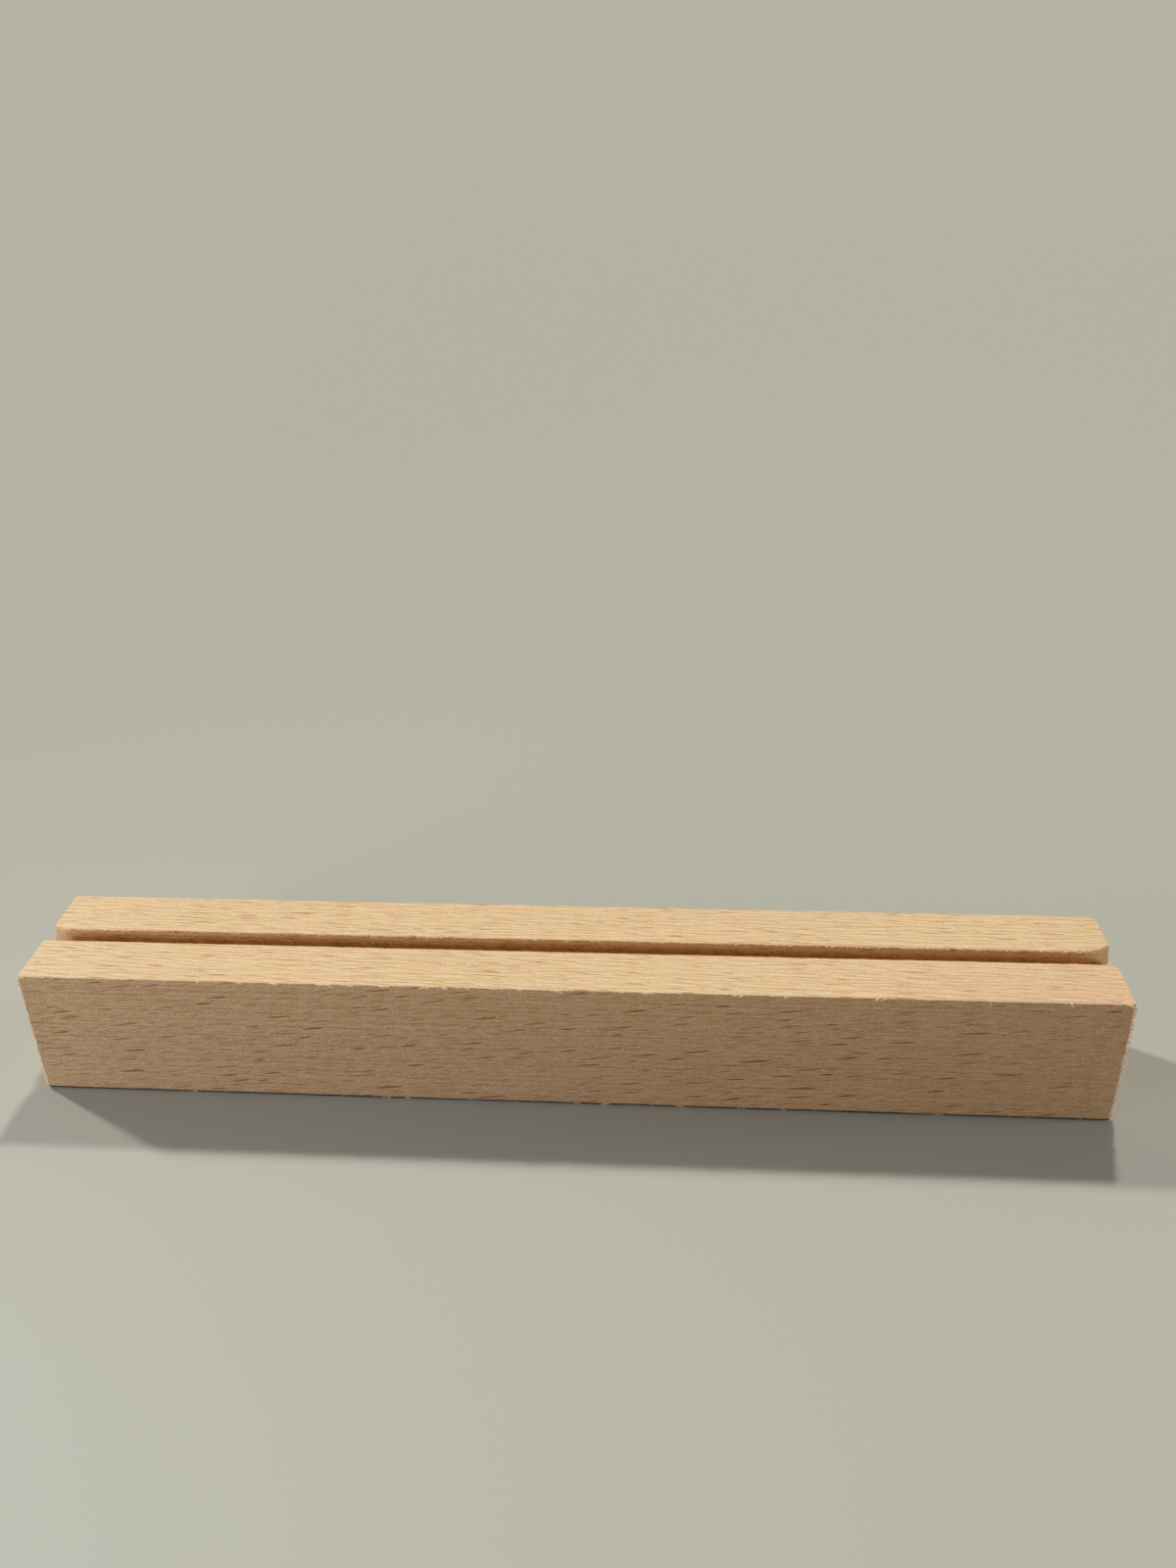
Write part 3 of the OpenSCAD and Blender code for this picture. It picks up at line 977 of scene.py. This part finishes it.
# Groups of raised fibres on the front: the place along the bar and in height, how far the group
# spreads, in millimetres, and the number of fibres.
FACE_GROUPS = [
    (9.0, 16.4, 3.0, 14),
    (10.5, 13.6, 1.5, 5),
    (-1.0, 3.6, 2.0, 7),
    (-20.0, 14.5, 6.0, 8),
    (35.0, 12.0, 20.0, 16),
    (-30.0, 8.0, 30.0, 16),
]
# No group spreads more than this in height, in millimetres.
TALLEST_SPREAD = 6.0


def face_fibres(rng):
    """Specks of raised fibre on the front face, in loose groups."""
    strips = []
    for group_x, group_z, spread, count in FACE_GROUPS:
        for _ in range(count):
            x = group_x + rng.gauss(0, 0.5) * spread
            z = group_z + rng.gauss(0, 0.25) * min(spread, TALLEST_SPREAD)
            base = Vector((x * MM, -HALF_WIDTH + 0.01 * MM, z * MM))
            along = rng.choice((-1, 1)) * rng.uniform(0.5, 1)
            way = Vector((along, -rng.uniform(0.4, 0.9), rng.uniform(-0.2, 0.5)))
            tip = base + way * rng.uniform(0.15, 0.4) * MM
            strips.append(fibre_strip(base, tip, STRAIGHT, 0.16 * MM))
    return strips


# The bar on its stage.

def make_camera():
    """The photograph's viewpoint, found from the bar's own edges."""
    place = (15.8 * MM, -145.8 * MM, 127.0 * MM)
    pitch, roll, yaw = (math.radians(angle) for angle in (28.97, -1.50, -4.72))
    focal_px, long_side_px, sensor_width = 1312, 1600, 36
    look = Matrix.Rotation(-yaw, 3, "Z") \
        @ Matrix.Rotation(math.pi / 2 - pitch, 3, "X") \
        @ Matrix.Rotation(roll, 3, "Z")
    data = bpy.data.cameras.new("camera")
    data.sensor_width = sensor_width
    data.lens = focal_px / long_side_px * sensor_width
    data.clip_start = 0.01
    camera = bpy.data.objects.new("camera", data)
    camera.matrix_world = Matrix.Translation(place) @ look.to_4x4()
    bpy.context.scene.collection.objects.link(camera)
    bpy.context.scene.camera = camera


def new_lamp(name, kind, energy, colour, place):
    """A lamp at a place, turned towards the frame's origin. Gives its settings."""
    data = bpy.data.lights.new(name, kind)
    data.energy = energy
    data.color = colour
    lamp = bpy.data.objects.new(name, data)
    lamp.location = place
    lamp.rotation_mode = "QUATERNION"
    lamp.rotation_quaternion = place.to_track_quat("Z", "Y")
    bpy.context.scene.collection.objects.link(lamp)
    return data


def sun(name, towards, level, angle, colour):
    """A distant lamp in that direction, as wide as the angle in degrees. Level is what it adds to the
    light on the floor."""
    direction = Vector(towards).normalized()
    data = new_lamp(name, "SUN", level * math.pi / direction.z, colour, direction)
    data.angle = math.radians(angle)


def near_lamp(name, place, radius, level, colour):
    """A soft lamp with a wide cone, aimed at the middle of the bar's foot. It leaves the floor right
    below itself unlit. Level is the light that it brings to the place it is aimed at."""
    place = Vector(place)
    energy = level * 4 * math.pi ** 2 * place.length_squared
    data = new_lamp(name, "SPOT", energy, colour, place)
    data.spot_size = math.radians(80)
    data.spot_blend = 1.0
    data.shadow_soft_size = radius


def make_world(seen, light, strength):
    """An even sky. The camera sees it in one colour and the bar is lit by another."""
    world = bpy.data.worlds.new("world")
    bpy.context.scene.world = world
    world.use_nodes = True
    tree = world.node_tree
    tree.nodes.clear()
    path = tree.nodes.new("ShaderNodeLightPath")
    mix = tree.nodes.new("ShaderNodeMixShader")
    output = tree.nodes.new("ShaderNodeOutputWorld")
    tree.links.new(path.outputs["Is Camera Ray"], mix.inputs[0])
    for socket, colour, level in ((1, light, strength), (2, seen, 1.0)):
        background = tree.nodes.new("ShaderNodeBackground")
        background.inputs["Color"].default_value = colour
        background.inputs["Strength"].default_value = level
        tree.links.new(background.outputs[0], mix.inputs[socket])
    tree.links.new(mix.outputs[0], output.inputs["Surface"])


def make_stage():
    """A pale table under an even sky, with three distant lamps and a cool one close by."""
    bpy.ops.mesh.primitive_plane_add(size=60)
    floor = bpy.context.object
    floor.name = "floor"
    table = Graph("pale_table").surface(srgb(181, 181, 168), roughness=0.7, specular=0.2)
    floor.data.materials.append(table)
    make_world(seen=srgb(180, 179, 165), light=(1.0, 0.98, 0.96, 1.0), strength=0.25)
    warm = (1.0, 0.985, 0.955)
    cool = (0.96, 1.03, 1.28)
    sun("lamp_behind", (2.6, 11.5, 20), level=0.34, angle=4, colour=warm)
    sun("lamp_left", (-21.7, 12.3, 20), level=0.31, angle=4, colour=warm)
    sun("lamp_right", (20, 1.5, 4), level=0.05, angle=15, colour=warm)
    near_lamp("fill_left", (-0.19, -0.19, 0.09), radius=0.05, level=0.215, colour=cool)


rng = random.Random(8)
bar = make_bar()
bar.data.materials.append(beech("raw_beech"))
makers = {
    "edge_fibres": long_edge_fibres,
    "mouth_fibres": mouth_fibres,
    "end_fibres": end_fibres,
    "face_fibres": face_fibres,
}
loose = [fibres_object(name, maker(rng)) for name, maker in makers.items()]
fibre_look = pale_fibre("pale_fibre")
for piece in loose:
    piece.data.materials.append(fibre_look)
for piece in [bar] + loose:
    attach(piece, "root")
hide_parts("slotted_block")

make_stage()
make_camera()
bpy.context.scene.view_settings.view_transform = "Standard"
